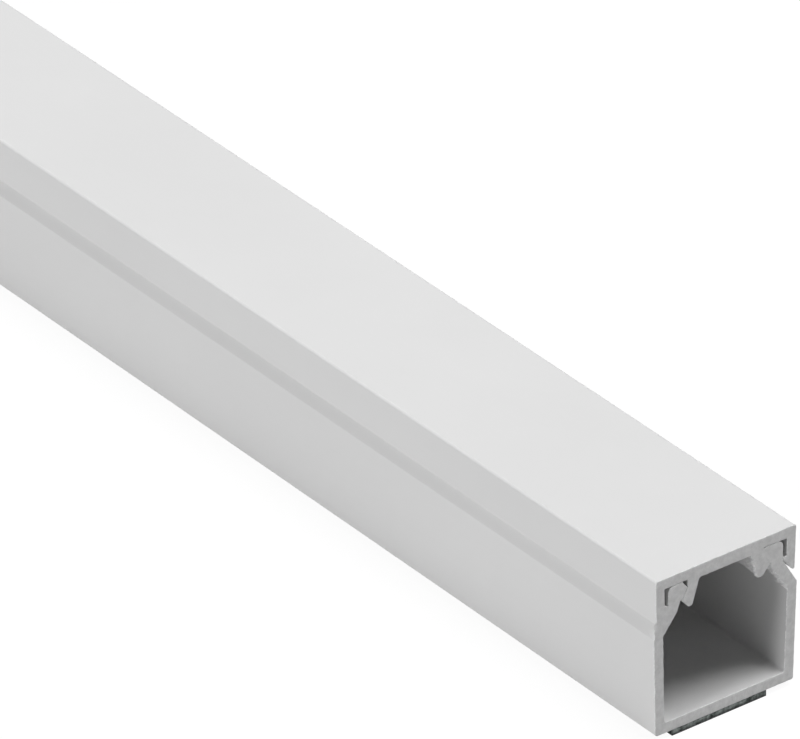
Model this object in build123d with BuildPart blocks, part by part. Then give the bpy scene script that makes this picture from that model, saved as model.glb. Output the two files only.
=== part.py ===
from build123d import *
import os
from math import cos, radians, sin

# A length of self-adhesive mini trunking: an extruded PVC base, the lid that
# snaps into it, the foam tape that sticks it to a wall, and the tape's liner.
# X runs along the stock, Y across it and Z away from the wall, in millimetres.

# The stock
stock_length = 1000.0
body_width = 16.0  # over the two shoulders of the base
body_height = 16.0  # underside of the base to the top of the lid

# The base: a channel whose shoulders lean in to two hooked heads
base_wall = 1.0
base_floor = 1.05
wall_batter = 0.25  # how far each wall leans out on its way up to the shoulder
shoulder_drop = 5.9  # top of the lid down to the shoulder's corner
shoulder_lean = 31.0  # degrees from upright, as for every lean below
head_inset = 1.6  # shoulder's corner in to the outer face of the head
neck_wall = 1.3  # outer face of the head in to the groove
nose_drop = 0.72  # top of the head down to the nose that holds the lid
nose_lean = 38.0  # the lead-in over the nose
groove_depth = 1.08  # nose down to the roof of the groove below it
groove_lean = 30.0
groove_roof_width = 0.15
throat_height = 1.0  # the steeper stretch under the groove
throat_flare = 0.35

# The lid: a plate with two skirts outside the heads and two barbed legs inside
lid_inset = 0.15  # shoulder's corner in to the lid's top edge
lid_plate = 1.3  # between the legs
lid_land = 1.05  # over the heads
skirt_wall = 0.93
skirt_lean = 1.5  # inwards on the way down
lip_height = 0.2
ledge_lean = 65.0  # the upper side of the lip
bevel_lean = 38.0  # the skirt's lower side, which opens away from the shoulder
leg_wall = 1.25  # at the root
leg_lean = 16.5  # inner face
barb_lean = 40.0  # the lead-in under the barb

# Running fits between lid and base
seat_clearance = 0.06  # plate over the heads
nose_clearance = 0.08  # leg to the nose
clip_clearance = 0.06  # leg to the face of the groove
barb_clearance = 0.05  # barb to the roof of the groove
lip_clearance = 0.1  # skirt's lip to head and shoulder

# Rounded corners
foot_round = 0.25
floor_round = 0.3
shoulder_round = 0.25
head_round = 0.6
lid_round = 0.25
skirt_round = 0.15
toe_round = 0.3
leg_root_round = 0.35
throat_round = 0.2
small_round = 0.12
fine_round = 0.06

# The tape, which is laid a little off the centre line
tape_width = 10.6
tape_shift = 0.6  # towards minus Y
foam_thickness = 0.5
liner_thickness = 0.1

# Sections are drawn for the half at plus Y: first Y, then the height above
# the underside of the plastic. Lines that bound them meet in the corners.
section_plane = Plane(
    origin=(0, 0, foam_thickness + liner_thickness), x_dir=(0, 1, 0), z_dir=(1, 0, 0)
)


def slanted(point, lean):
    """The line through a point that leans to the middle as it rises."""
    return Axis(point, (-sin(radians(lean)), cos(radians(lean))))


def level(height):
    """The level line at a height."""
    return Axis((0, height), (1, 0))


def inside(line, distance):
    """The line parallel to a rising one, nearer the middle by a distance."""
    to_middle = Vector(-line.direction.Y, line.direction.X)
    return Axis(line.position + to_middle * distance, line.direction)


def half_outline(start, corners, end):
    """Half of a section, from the centre line round its corners and back to it."""
    points = [start] + [point for point, _ in corners] + [end]
    FilletPolyline(*points, radius=[rounding for _, rounding in corners])
    mirror(about=Plane.YZ)


# Lines of the base
half_width = body_width / 2
head_top = body_height - lid_land - seat_clearance
nose_height = head_top - nose_drop
groove_roof = nose_height - groove_depth

shoulder_corner = Vector(half_width, body_height - shoulder_drop)
foot_corner = Vector(half_width - wall_batter, 0)
wall_outside = Axis(foot_corner, shoulder_corner - foot_corner)
wall_inside = inside(wall_outside, base_wall)
shoulder_outside = slanted(shoulder_corner, shoulder_lean)
head_outside = slanted((half_width - head_inset, head_top), 0)

groove_outer_corner = Vector(half_width - head_inset - neck_wall, groove_roof)
throat_corner = groove_outer_corner + Vector(throat_flare, -throat_height)
groove_inner_corner = groove_outer_corner - Vector(groove_roof_width, 0)
groove_face = slanted(groove_inner_corner, groove_lean)
nose = groove_face.intersect(level(nose_height))
nose_face = slanted(nose, -nose_lean)

with BuildPart() as trunking_base:
    with BuildSketch(section_plane):
        with BuildLine():
            half_outline(
                (0, 0),
                [
                    (foot_corner, foot_round),
                    (shoulder_corner, shoulder_round),
                    (shoulder_outside.intersect(head_outside), small_round),
                    (head_outside.intersect(level(head_top)), head_round),
                    (nose_face.intersect(level(head_top)), small_round),
                    (nose, small_round),
                    (groove_inner_corner, fine_round),
                    (groove_outer_corner, fine_round),
                    (throat_corner, throat_round),
                    (wall_inside.intersect(level(shoulder_corner.Y)), floor_round),
                    (wall_inside.intersect(level(base_floor)), floor_round),
                ],
                (0, base_floor),
            )
        make_face()
    extrude(amount=stock_length / 2, both=True)

# Lines of the lid
plate_underside = body_height - lid_plate
land_underside = head_top + seat_clearance

skirt_outside = slanted((half_width - lid_inset, body_height), -skirt_lean)
skirt_inside = inside(skirt_outside, skirt_wall)
lip_face = inside(head_outside, -lip_clearance)
lip_bottom = lip_face.intersect(inside(shoulder_outside, -lip_clearance))
lip_top = lip_bottom + Vector(0, lip_height)
bevel = slanted(lip_bottom, bevel_lean)

leg_outside = slanted(nose - Vector(nose_clearance, 0), 0)
leg_flank = inside(groove_face, clip_clearance)
barb = leg_flank.intersect(level(groove_roof - barb_clearance))
barb_face = slanted(barb, -barb_lean)
leg_root = leg_outside.intersect(level(plate_underside)) - Vector(leg_wall, 0)
leg_inside = slanted(leg_root, leg_lean)

with BuildPart() as trunking_lid:
    with BuildSketch(section_plane):
        with BuildLine():
            half_outline(
                (0, body_height),
                [
                    (skirt_outside.intersect(level(body_height)), lid_round),
                    (skirt_outside.intersect(bevel), skirt_round),
                    (lip_bottom, fine_round),
                    (lip_top, fine_round),
                    (slanted(lip_top, -ledge_lean).intersect(skirt_inside), small_round),
                    (skirt_inside.intersect(level(land_underside)), small_round),
                    (leg_outside.intersect(level(land_underside)), fine_round),
                    (leg_outside.intersect(leg_flank), small_round),
                    (barb, fine_round),
                    (barb_face.intersect(leg_inside), toe_round),
                    (leg_root, leg_root_round),
                ],
                (0, plate_underside),
            )
        make_face()
    extrude(amount=stock_length / 2, both=True)

# The tape: a foam strip under the base and the film that covers its adhesive
with BuildPart() as foam_tape:
    with BuildSketch(Plane.XY.offset(liner_thickness)):
        with Locations((0, -tape_shift)):
            Rectangle(stock_length, tape_width)
    extrude(amount=foam_thickness)

with BuildPart() as release_liner:
    with BuildSketch(Plane.XY):
        with Locations((0, -tape_shift)):
            Rectangle(stock_length, tape_width)
    extrude(amount=liner_thickness)

trunking_base.part.label = "trunking_base"
trunking_lid.part.label = "trunking_lid"
foam_tape.part.label = "foam_tape"
release_liner.part.label = "release_liner"

os.makedirs("parts", exist_ok=True)
export_step(trunking_base.part, "parts/trunking_base.step")
export_step(trunking_lid.part, "parts/trunking_lid.step")
export_step(foam_tape.part, "parts/foam_tape.step")
export_step(release_liner.part, "parts/release_liner.step")
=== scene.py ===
from math import radians

import bpy
from mathutils import Matrix, Vector


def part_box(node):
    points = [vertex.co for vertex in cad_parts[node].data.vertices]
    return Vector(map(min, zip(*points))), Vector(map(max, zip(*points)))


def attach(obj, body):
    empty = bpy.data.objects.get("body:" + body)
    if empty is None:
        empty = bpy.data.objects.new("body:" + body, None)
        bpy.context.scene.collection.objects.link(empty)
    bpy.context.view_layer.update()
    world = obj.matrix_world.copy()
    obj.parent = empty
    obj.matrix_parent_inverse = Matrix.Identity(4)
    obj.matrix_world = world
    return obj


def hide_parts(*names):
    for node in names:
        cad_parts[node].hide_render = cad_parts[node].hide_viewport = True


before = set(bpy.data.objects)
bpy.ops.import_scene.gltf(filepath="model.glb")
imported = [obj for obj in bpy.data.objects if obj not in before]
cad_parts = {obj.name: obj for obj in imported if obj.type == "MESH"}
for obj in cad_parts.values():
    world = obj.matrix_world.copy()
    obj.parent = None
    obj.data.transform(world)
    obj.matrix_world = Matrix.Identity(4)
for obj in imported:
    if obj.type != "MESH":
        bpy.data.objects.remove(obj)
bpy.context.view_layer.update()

# The base of the trunking: a channel extruded in one piece from white PVC. The
# saw squared it off at both ends, which left fine lines across the cut faces, a
# faintly rounded rim round them, and a ragged burr where the blade came out.

half_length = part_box("trunking_base")[1].x
saw_rings = (0.00013, 0.0003, 0.0006, 0.001, 0.0015, 0.0021)
saw_grid = 0.0002
rim_width = 0.00006
rim_weld = 0.00001
face_depth = 0.0002
face_unevenness = 0.00006
face_grain = 0.0009
burr_height = 0.00014
burr_reach = 0.0006
burr_grain = 0.0004
least_burr = 0.6
smear_height = 0.0009
smear_crest = 0.0001
smear_reach = 0.0021
smear_edge = 0.0004
smear_grain = 0.0003
# How far behind the cut the paler streaks, partly painted light, are at full strength.
full_whitening_and_painted_light_reach = 0.0012
bridge_length = 0.00055
bridge_facing = 0.4

white_pvc = (0.745, 0.745, 0.745)
shaded_pvc = (0.725, 0.725, 0.725)
pale_cut = (0.81, 0.81, 0.81)
dark_cut = (0.70, 0.70, 0.70)
# Streak tones, paler than the PVC: partly stress-whitening and partly painted light on the burr.
pale_streak_painted_light = (0.99, 0.99, 0.99)
dark_streak_painted_light = (0.78, 0.78, 0.78)
pvc_ior = 1.53


def pick_up(piece):
    """Makes a piece the only one selected, as a click on it does."""
    bpy.ops.object.select_all(action="DESELECT")
    piece.select_set(True)
    bpy.context.view_layer.objects.active = piece


def welded_copy(node, name):
    """A copy of a CAD node, its loose triangles welded into long faces and whole ends."""
    piece = bpy.data.objects.new(name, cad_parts[node].data.copy())
    piece.data.materials.clear()
    bpy.context.scene.collection.objects.link(piece)
    pick_up(piece)
    bpy.ops.mesh.customdata_custom_splitnormals_clear()
    bpy.ops.object.mode_set(mode="EDIT")
    bpy.ops.mesh.select_all(action="SELECT")
    bpy.ops.mesh.remove_doubles(threshold=1e-6)
    bpy.ops.mesh.dissolve_limited(angle_limit=radians(0.2))
    bpy.ops.object.mode_set(mode="OBJECT")
    return piece


def cut(piece, point, across, reach):
    """Cuts the faces whose middle lies within reach of either end, along a plane."""
    for vertex in piece.data.vertices:
        vertex.select = False
    for edge in piece.data.edges:
        edge.select = False
    for face in piece.data.polygons:
        face.select = abs(face.center.x) > half_length - reach
    bpy.ops.object.mode_set(mode="EDIT")
    bpy.ops.mesh.bisect(plane_co=point, plane_no=across)
    bpy.ops.object.mode_set(mode="OBJECT")


def cut_rings(piece, rings):
    """Rings round a piece, near both its ends."""
    for ring in rings:
        for side in (-1, 1):
            cut(piece, (side * (half_length - ring), 0, 0), (1, 0, 0), reach=2 * half_length)


def cut_grid(piece, node, grid, reach):
    """A fine grid over both ends and the stretch behind them, for the saw's work to shape."""
    low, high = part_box(node)
    for axis, across in ((1, (0, 1, 0)), (2, (0, 0, 1))):
        steps = int((high[axis] - low[axis]) / grid)
        for step in range(1, steps + 1):
            place = low[axis] + step * (high[axis] - low[axis]) / (steps + 1)
            cut(piece, [part * place for part in across], across, reach)


def round_the_rims(piece):
    """Takes the sharp edge off both sawn ends, and welds points that this leaves too close."""
    of_ends = set()
    of_sides = set()
    for face in piece.data.polygons:
        kind = of_ends if abs(face.normal.x) > 0.5 else of_sides
        kind.update(face.edge_keys)
    rim = of_ends & of_sides
    bpy.ops.object.mode_set(mode="EDIT")
    bpy.ops.mesh.select_mode(type="EDGE")
    bpy.ops.mesh.select_all(action="DESELECT")
    bpy.ops.object.mode_set(mode="OBJECT")
    for edge in piece.data.edges:
        edge.select = edge.key in rim
    bpy.ops.object.mode_set(mode="EDIT")
    bpy.ops.mesh.bevel(offset=rim_width, segments=2, profile=0.5, clamp_overlap=False)
    bpy.ops.mesh.select_mode(type="FACE")
    bpy.ops.mesh.select_all(action="SELECT")
    bpy.ops.mesh.remove_doubles(threshold=rim_weld)
    bpy.ops.object.mode_set(mode="OBJECT")


def finish_with(piece, kind, **settings):
    """Adds a modifier to a piece and applies it."""
    pick_up(piece)
    modifier = piece.modifiers.new(kind, kind)
    for setting, value in settings.items():
        setattr(modifier, setting, value)
    bpy.ops.object.modifier_apply(modifier=modifier.name)


def push(piece, shares, grain, **settings):
    """Moves each point by its share of a cloudy pattern."""
    group = piece.vertex_groups.new(name="moved")
    for vertex in piece.data.vertices:
        group.add([vertex.index], shares(vertex), "REPLACE")
    pattern = bpy.data.textures.new(piece.name + "_saw", "CLOUDS")
    pattern.noise_scale = grain
    pattern.noise_depth = 2
    finish_with(piece, "DISPLACE", texture=pattern, vertex_group="moved", **settings)
    piece.vertex_groups.clear()


def clamped(share):
    """A share, kept from 0 to 1."""
    return min(1, max(0, share))


def depth_in(boxes, point):
    """How deep a point lies in some boxes, each (low, high) across and (low, high) up."""
    return max(
        min(point.y - low_y, high_y - point.y, point.z - low_z, high_z - point.z)
        for (low_y, high_y), (low_z, high_z) in boxes
    )


def saw_off(piece, node, smeared, bridged=()):
    """Leaves both ends as the blade does: uneven faces, and a burr where its teeth came out.
    It smeared most over what faces minus Y inside the smeared boxes. In the bridged boxes it
    dragged the burr over the gap to the other piece, by the share given with each box."""
    cut_rings(piece, saw_rings)
    round_the_rims(piece)
    cut_grid(piece, node, saw_grid, saw_rings[-1])

    def depth(vertex):
        """How far behind the nearer end a point lies."""
        return half_length - abs(vertex.co.x)

    def bridge(vertex):
        """Whole for half the burr's reach and then less, on what faces minus Y."""
        facing = clamped(-vertex.normal.y / bridge_facing)
        near = clamped(2 - 2 * depth(vertex) / burr_reach)
        return facing * near * max(
            share * clamped(depth_in((box,), vertex.co) / smear_edge) for box, share in bridged
        )

    def burr(vertex):
        """All round, most of it just behind the rim and on what faces minus Y."""
        behind_the_rim = clamped(depth(vertex) / rim_width)
        near = clamped(1 - depth(vertex) / burr_reach) ** 2
        facing = least_burr + (1 - least_burr) * max(0, -vertex.normal.y)
        return behind_the_rim * near * facing

    def smear(vertex):
        """A crest just behind the cut that thins out over its reach, on what faces minus Y."""
        ridge = clamped(depth(vertex) / smear_crest) * clamped(1 - depth(vertex) / smear_reach)
        well_inside = clamped(depth_in(smeared, vertex.co) / smear_edge)
        return ridge * well_inside * max(0, -vertex.normal.y)

    def face(vertex):
        """The cut face and its rim."""
        return float(depth(vertex) < face_depth)

    if bridged:
        push(piece, bridge, smear_grain, direction="Y", strength=-bridge_length, mid_level=-0.5)
    push(piece, burr, burr_grain, direction="NORMAL", strength=burr_height, mid_level=0.1)
    push(piece, smear, smear_grain, direction="NORMAL", strength=smear_height, mid_level=0.25)
    push(piece, face, face_grain, direction="X", strength=face_unevenness, mid_level=0.5)


def even_shading(piece):
    """Smooth rounds beside flat faces that stay flat."""
    pick_up(piece)
    bpy.ops.object.shade_smooth_by_angle(angle=radians(40))
    finish_with(piece, "WEIGHTED_NORMAL", mode="FACE_AREA", weight=50, keep_sharp=True)


def put(tree, kind, values=(), **settings):
    """Adds a node to a material. A socket's value is a number or another node's output."""
    node = tree.nodes.new("ShaderNode" + kind)
    for setting, value in settings.items():
        setattr(node, setting, value)
    for socket, value in dict(values).items():
        if isinstance(value, bpy.types.NodeSocket):
            tree.links.new(value, node.inputs[socket])
        else:
            node.inputs[socket].default_value = value
    return node


def blank_material(name):
    """A material with nothing in it but its object coordinates."""
    material = bpy.data.materials.new(name)
    material.use_nodes = True
    material.node_tree.nodes.clear()
    place = put(material.node_tree, "TexCoord").outputs["Object"]
    return material, material.node_tree, place


def clouding(tree, place, scale, detail, roughness=0.5):
    """A cloudy pattern."""
    values = {"Vector": place, "Scale": scale, "Detail": detail, "Roughness": roughness}
    return put(tree, "TexNoise", values).outputs[0]


def two_tones(tree, pattern, low, high, dark, pale):
    """A colour between two tones, where the pattern goes from low to high."""
    ramp = put(tree, "ValToRGB", {"Fac": pattern})
    ramp.color_ramp.elements[0].position = low
    ramp.color_ramp.elements[0].color = (*dark, 1)
    ramp.color_ramp.elements[1].position = high
    ramp.color_ramp.elements[1].color = (*pale, 1)
    return ramp.outputs["Color"]


def spread(tree, pattern, low, high, least, most):
    """A number from least to most, where the pattern goes from low to high."""
    values = {"Value": pattern, "From Min": low, "From Max": high, "To Min": least, "To Max": most}
    return put(tree, "MapRange", values).outputs["Result"]


def raised(tree, pattern, strength, distance, over=None, **settings):
    """Bumps the surface by a pattern, over any bumps that it has already."""
    values = {"Height": pattern, "Strength": strength, "Distance": distance}
    if over:
        values["Normal"] = over
    return put(tree, "Bump", values, **settings).outputs[0]


def surface(tree, values):
    """Gives the material its surface."""
    shader = put(tree, "BsdfPrincipled", values)
    put(tree, "OutputMaterial", {"Surface": shader.outputs[0]})


def extruded_skin(name, offset):
    """Satin PVC as it leaves the die: clouded a little, with faint lines along it."""
    material, tree, place = blank_material(name)
    moved = put(tree, "Mapping", {"Vector": place, "Location": (offset, offset, 0)}).outputs[0]
    drawn = put(tree, "Mapping", {"Vector": moved, "Scale": (5.0, 1500.0, 1500.0)}).outputs[0]
    clouds = clouding(tree, moved, 38.0, detail=4.0, roughness=0.6)
    die_lines = clouding(tree, drawn, 1.0, detail=3.0)
    grain = clouding(tree, moved, 3800.0, detail=3.0, roughness=0.6)
    lined = raised(tree, die_lines, 0.25, 0.00002)
    surface(tree, {
        "Base Color": two_tones(tree, clouds, 0.35, 0.65, shaded_pvc, white_pvc),
        "Roughness": spread(tree, die_lines, 0.3, 0.7, 0.42, 0.5),
        "IOR": pvc_ior,
        "Normal": raised(tree, grain, 0.3, 0.00001, over=lined),
    })
    return material


def sawn_face(name, offset):
    """PVC where the blade went through: matt, clouded and finely scored across."""
    material, tree, place = blank_material(name)
    moved = put(tree, "Mapping", {"Vector": place, "Location": (0, offset, 0)}).outputs[0]
    along_the_blade = {
        "Vector": moved,
        "Rotation": (radians(24), 0, 0),
        "Scale": (0.0011, 0.0014, 0.0002),
    }
    blade = put(tree, "Mapping", along_the_blade, vector_type="TEXTURE").outputs[0]
    strokes = clouding(tree, blade, 1.0, detail=4.0, roughness=0.65)
    clouds = clouding(tree, moved, 1400.0, detail=3.0, roughness=0.6)
    scored = raised(tree, strokes, 0.6, 0.00005)
    surface(tree, {
        "Base Color": two_tones(tree, clouds, 0.35, 0.65, dark_cut, pale_cut),
        "Roughness": spread(tree, strokes, 0.3, 0.7, 0.55, 0.75),
        "IOR": pvc_ior,
        "Normal": raised(tree, clouds, 0.5, 0.00012, over=scored),
    })
    return material


def smeared_skin_with_painted_light(name, offset):
    """PVC that the blade dragged, in paler streaks that fade away from the cut: partly stress-whitening and
    partly painted light where the burr catches light.
    """
    material, tree, place = blank_material(name)
    along_the_smear = {
        "Vector": place,
        "Location": (0, offset, offset),
        "Rotation": (0, radians(-26), 0),
        "Scale": (0.0016, 0.0005, 0.0003),
    }
    dragged = put(tree, "Mapping", along_the_smear, vector_type="TEXTURE").outputs[0]
    streaks = clouding(tree, dragged, 1.0, detail=3.0, roughness=0.6)
    # Paler streaks: partly stress-whitening and partly painted light where the burr catches light.
    streaks_with_painted_light = two_tones(tree, streaks, 0.42, 0.58, dark_streak_painted_light, pale_streak_painted_light)
    along = put(tree, "SeparateXYZ", {"Vector": place}).outputs["X"]
    from_middle = put(tree, "Math", {0: along}, operation="ABSOLUTE").outputs[0]
    faded, full = half_length - smear_reach, half_length - full_whitening_and_painted_light_reach
    whitening_and_light_share = spread(tree, from_middle, faded, full, 0.0, 1.0)
    tones = {"Factor": whitening_and_light_share, "A": (*white_pvc, 1), "B": streaks_with_painted_light}
    surface(tree, {
        "Base Color": put(tree, "Mix", tones, data_type="RGBA").outputs["Result"],
        "Roughness": 0.65,
        "Subsurface Weight": 0.8,
        "Subsurface Radius": (1.0, 1.0, 1.0),
        "Subsurface Scale": 0.0012,
        "IOR": pvc_ior,
        "Normal": raised(tree, streaks, 0.8, 0.00025),
    })
    return material


def dress(piece, skin, sawn, dragged, smeared):
    """The die's skin on the long faces, the blade's finish on the ends, and its drag on rims and smears,
    with paler streaks that are partly painted light.
    """
    for material in (skin, sawn, dragged):
        piece.data.materials.append(material)
    for face in piece.data.polygons:
        depth = half_length - abs(face.center.x)
        on_a_smear = depth < smear_reach and face.normal.y < -0.3 and depth_in(smeared, face.center) > 0
        if depth < face_depth and abs(face.normal.x) > 0.9:
            face.material_index = 1
        # Rims and smears take the streaked material, whose paler streaks are partly painted light.
        elif depth < rim_width or on_a_smear:
            face.material_index = 2


base = welded_copy("trunking_base", "extruded_base")
left_shoulder = ((-0.0080, -0.0062), (0.0108, 0.0130))
left_bevel = ((-0.0079, -0.0062), (0.0105, 0.0136))
right_shoulder = ((0.0046, 0.0080), (0.0102, 0.0140))
right_nose = ((0.0041, 0.0056), (0.0142, 0.0161))
saw_off(
    base, "trunking_base", (left_shoulder, right_shoulder),
    bridged=((right_nose, 1.0), (left_bevel, 0.9)),
)
dress(
    base, extruded_skin("base_pvc_skin", 0.0), sawn_face("base_pvc_sawn", 0.0),
    smeared_skin_with_painted_light("base_pvc_smeared_painted_light", 0.0), (right_shoulder,),
)
even_shading(base)
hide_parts("trunking_base")
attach(base, "trunking")

# The lid: a second PVC extrusion, a plate with two skirts outside the base's
# heads and two barbed legs that clip in between them. It was sawn through with
# the base, so its ends have the same lines, rims and burr.

lid = welded_copy("trunking_lid", "clipped_lid")
right_leg = ((0.0018, 0.0042), (0.0120, 0.0158))
saw_off(lid, "trunking_lid", (right_leg,))
dress(
    lid, extruded_skin("lid_pvc_skin", 0.37), sawn_face("lid_pvc_sawn", 0.13),
    smeared_skin_with_painted_light("lid_pvc_smeared_painted_light", 0.21), (right_leg,),
)
even_shading(lid)
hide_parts("trunking_lid")
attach(lid, "lid")

# The foam tape: a strip of dark grey closed-cell foam with adhesive on both
# sides, rolled on under the base and cut with it. Its cells show where it's cut.

tape_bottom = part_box("foam_tape")[0].z
cell_rings = (0.0001, 0.0003)
cell_grid = 0.0001
cell_depth = 0.00016
cell_grain = 0.0003
painted_shade_height = 0.0003
dark_foam = (0.06, 0.072, 0.067)
pale_foam = (0.36, 0.40, 0.385)


def cut_foam(name):
    """Grey foam in dark and pale patches, pitted by its cells, with painted shade darkening it towards the
    bottom.
    """
    material, tree, place = blank_material(name)
    cells = put(
        tree, "TexVoronoi", {"Vector": place, "Scale": 4200.0, "Randomness": 1.0}, feature="F1"
    ).outputs[0]
    patches = clouding(tree, place, 1500.0, detail=2.0, roughness=0.55)
    pitted = raised(tree, cells, 0.4, 0.00006, invert=True)
    height = put(tree, "SeparateXYZ", {"Vector": place}).outputs["Z"]
    # Painted shade: the foam darkens to 0.3 of its colour over its lowest 0.3 mm.
    painted_underside_shade = spread(tree, height, tape_bottom, tape_bottom + painted_shade_height, 0.3, 1.0)
    mottled = two_tones(tree, patches, 0.36, 0.66, dark_foam, pale_foam)
    foam_with_painted_shade = put(tree, "VectorMath", {0: mottled, "Scale": painted_underside_shade}, operation="SCALE")
    surface(tree, {
        "Base Color": foam_with_painted_shade.outputs[0],
        "Roughness": 0.9,
        "Specular IOR Level": 0.25,
        "Normal": raised(tree, patches, 0.6, 0.00015, over=pitted),
    })
    return material


def cell_share(vertex):
    """How much of the cut cells' unevenness a point takes."""
    return max(0, 1 - (half_length - abs(vertex.co.x)) / cell_rings[-1])


tape = welded_copy("foam_tape", "foam_strip")
cut_rings(tape, cell_rings)
cut_grid(tape, "foam_tape", cell_grid, cell_rings[-1])
push(tape, cell_share, cell_grain, direction="X", strength=cell_depth, mid_level=0.5)
tape.data.materials.append(cut_foam("dark_foam"))
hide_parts("foam_tape")
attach(tape, "trunking")

# The release liner: a thin film over the tape's lower adhesive, left on until the
# trunking is stuck to a wall; its near-black colour is painted shade under the tape.

painted_shade_black = (0.016, 0.018, 0.018)
painted_shade_creased = (0.026, 0.028, 0.028)


def film(name):
    """Liner film with a faint crinkle, coloured near-black as painted shade."""
    material, tree, place = blank_material(name)
    crinkle = clouding(tree, place, 300.0, detail=3.0)
    surface(tree, {
        "Base Color": two_tones(tree, crinkle, 0.35, 0.65, painted_shade_black, painted_shade_creased),
        "Roughness": spread(tree, crinkle, 0.3, 0.7, 0.35, 0.5),
        "Normal": raised(tree, crinkle, 0.3, 0.0001),
    })
    return material


liner = welded_copy("release_liner", "liner_strip")
liner.data.materials.append(film("liner_film_painted_shade"))
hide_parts("release_liner")
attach(liner, "trunking")

# The studio: a wide white table that fades into a white backdrop, a soft lamp
# overhead and a softer one from the left. The table sends its own light back up
# at the sides and ends, and keeps a faint shadow.

table_grey = (0.66, 0.66, 0.66, 1)
shadow_grey = (0.08, 0.08, 0.08, 1)
table_glow = 0.94
white = (1, 1, 1, 1)


def shown(tree):
    """1 for what the camera sees, also mirrored or through glass, and 0 for all other light."""
    path = put(tree, "LightPath")
    seen = path.outputs["Is Camera Ray"]
    for ray in ("Is Glossy Ray", "Is Transmission Ray"):
        seen = put(tree, "Math", {0: seen, 1: path.outputs[ray]}, operation="MAXIMUM").outputs[0]
    return seen


def far_softbox(name, towards, strength, width):
    """A soft lamp so far off that it lights the whole length alike."""
    lamp = bpy.data.objects.new(name, bpy.data.lights.new(name, "SUN"))
    lamp.data.energy = strength
    lamp.data.angle = radians(width)
    lamp.rotation_mode = "QUATERNION"
    lamp.rotation_quaternion = Vector(towards).to_track_quat("Z", "Y")
    bpy.context.scene.collection.objects.link(lamp)


bpy.ops.object.select_all(action="DESELECT")
bpy.ops.mesh.primitive_plane_add(size=80, location=(0, 0, 0))
table = bpy.context.object
table.name = "white_table"

paper = bpy.data.materials.new("white_paper")
paper.use_nodes = True
tree = paper.node_tree
tree.nodes.clear()
lit_paper = put(tree, "BsdfDiffuse", {"Color": table_grey})
glow = put(tree, "Emission", {"Color": white, "Strength": table_glow})
shadow_keeper = put(tree, "BsdfDiffuse", {"Color": shadow_grey})
shown_paper = put(tree, "AddShader", {0: glow.outputs[0], 1: shadow_keeper.outputs[0]})
either = put(tree, "MixShader", {0: shown(tree), 1: lit_paper.outputs[0], 2: shown_paper.outputs[0]})
put(tree, "OutputMaterial", {"Surface": either.outputs[0]})
table.data.materials.append(paper)

world = bpy.data.worlds.new("white_room")
bpy.context.scene.world = world
world.use_nodes = True
tree = world.node_tree
tree.nodes.clear()
backdrop = put(tree, "Background", {"Color": white, "Strength": shown(tree)})
put(tree, "OutputWorld", {"Surface": backdrop.outputs[0]})

far_softbox("overhead_softbox", towards=(0.119, 0.228, 0.966), strength=2.57, width=30)
far_softbox("left_softbox", towards=(0.0, -0.906, 0.423), strength=1.52, width=20)

# The camera, where the photograph's straight edges meet: 53 degrees round from
# the left, 31 degrees up and a metre off, with a very long lens.

camera = bpy.data.objects.new("camera", bpy.data.cameras.new("camera"))
bpy.context.scene.collection.objects.link(camera)
bpy.context.scene.camera = camera
camera.data.sensor_width = 36
camera.data.lens = 545.9
camera.data.clip_start = 0.05
camera.data.clip_end = 100

turn = Matrix.Rotation(radians(52.587), 3, "Z")
tilt = Matrix.Rotation(radians(90 - 31.182), 3, "X")
roll = Matrix.Rotation(radians(-0.231), 3, "Z")
held = turn @ tilt @ roll
end_middle = Vector((half_length, 0, 0.008275))
aim = end_middle + held @ Vector((-0.028498, 0.023155, 0))
distance = 1.06205
camera.matrix_world = Matrix.Translation(aim + held @ Vector((0, 0, distance))) @ held.to_4x4()

bpy.context.scene.view_settings.view_transform = "Standard"
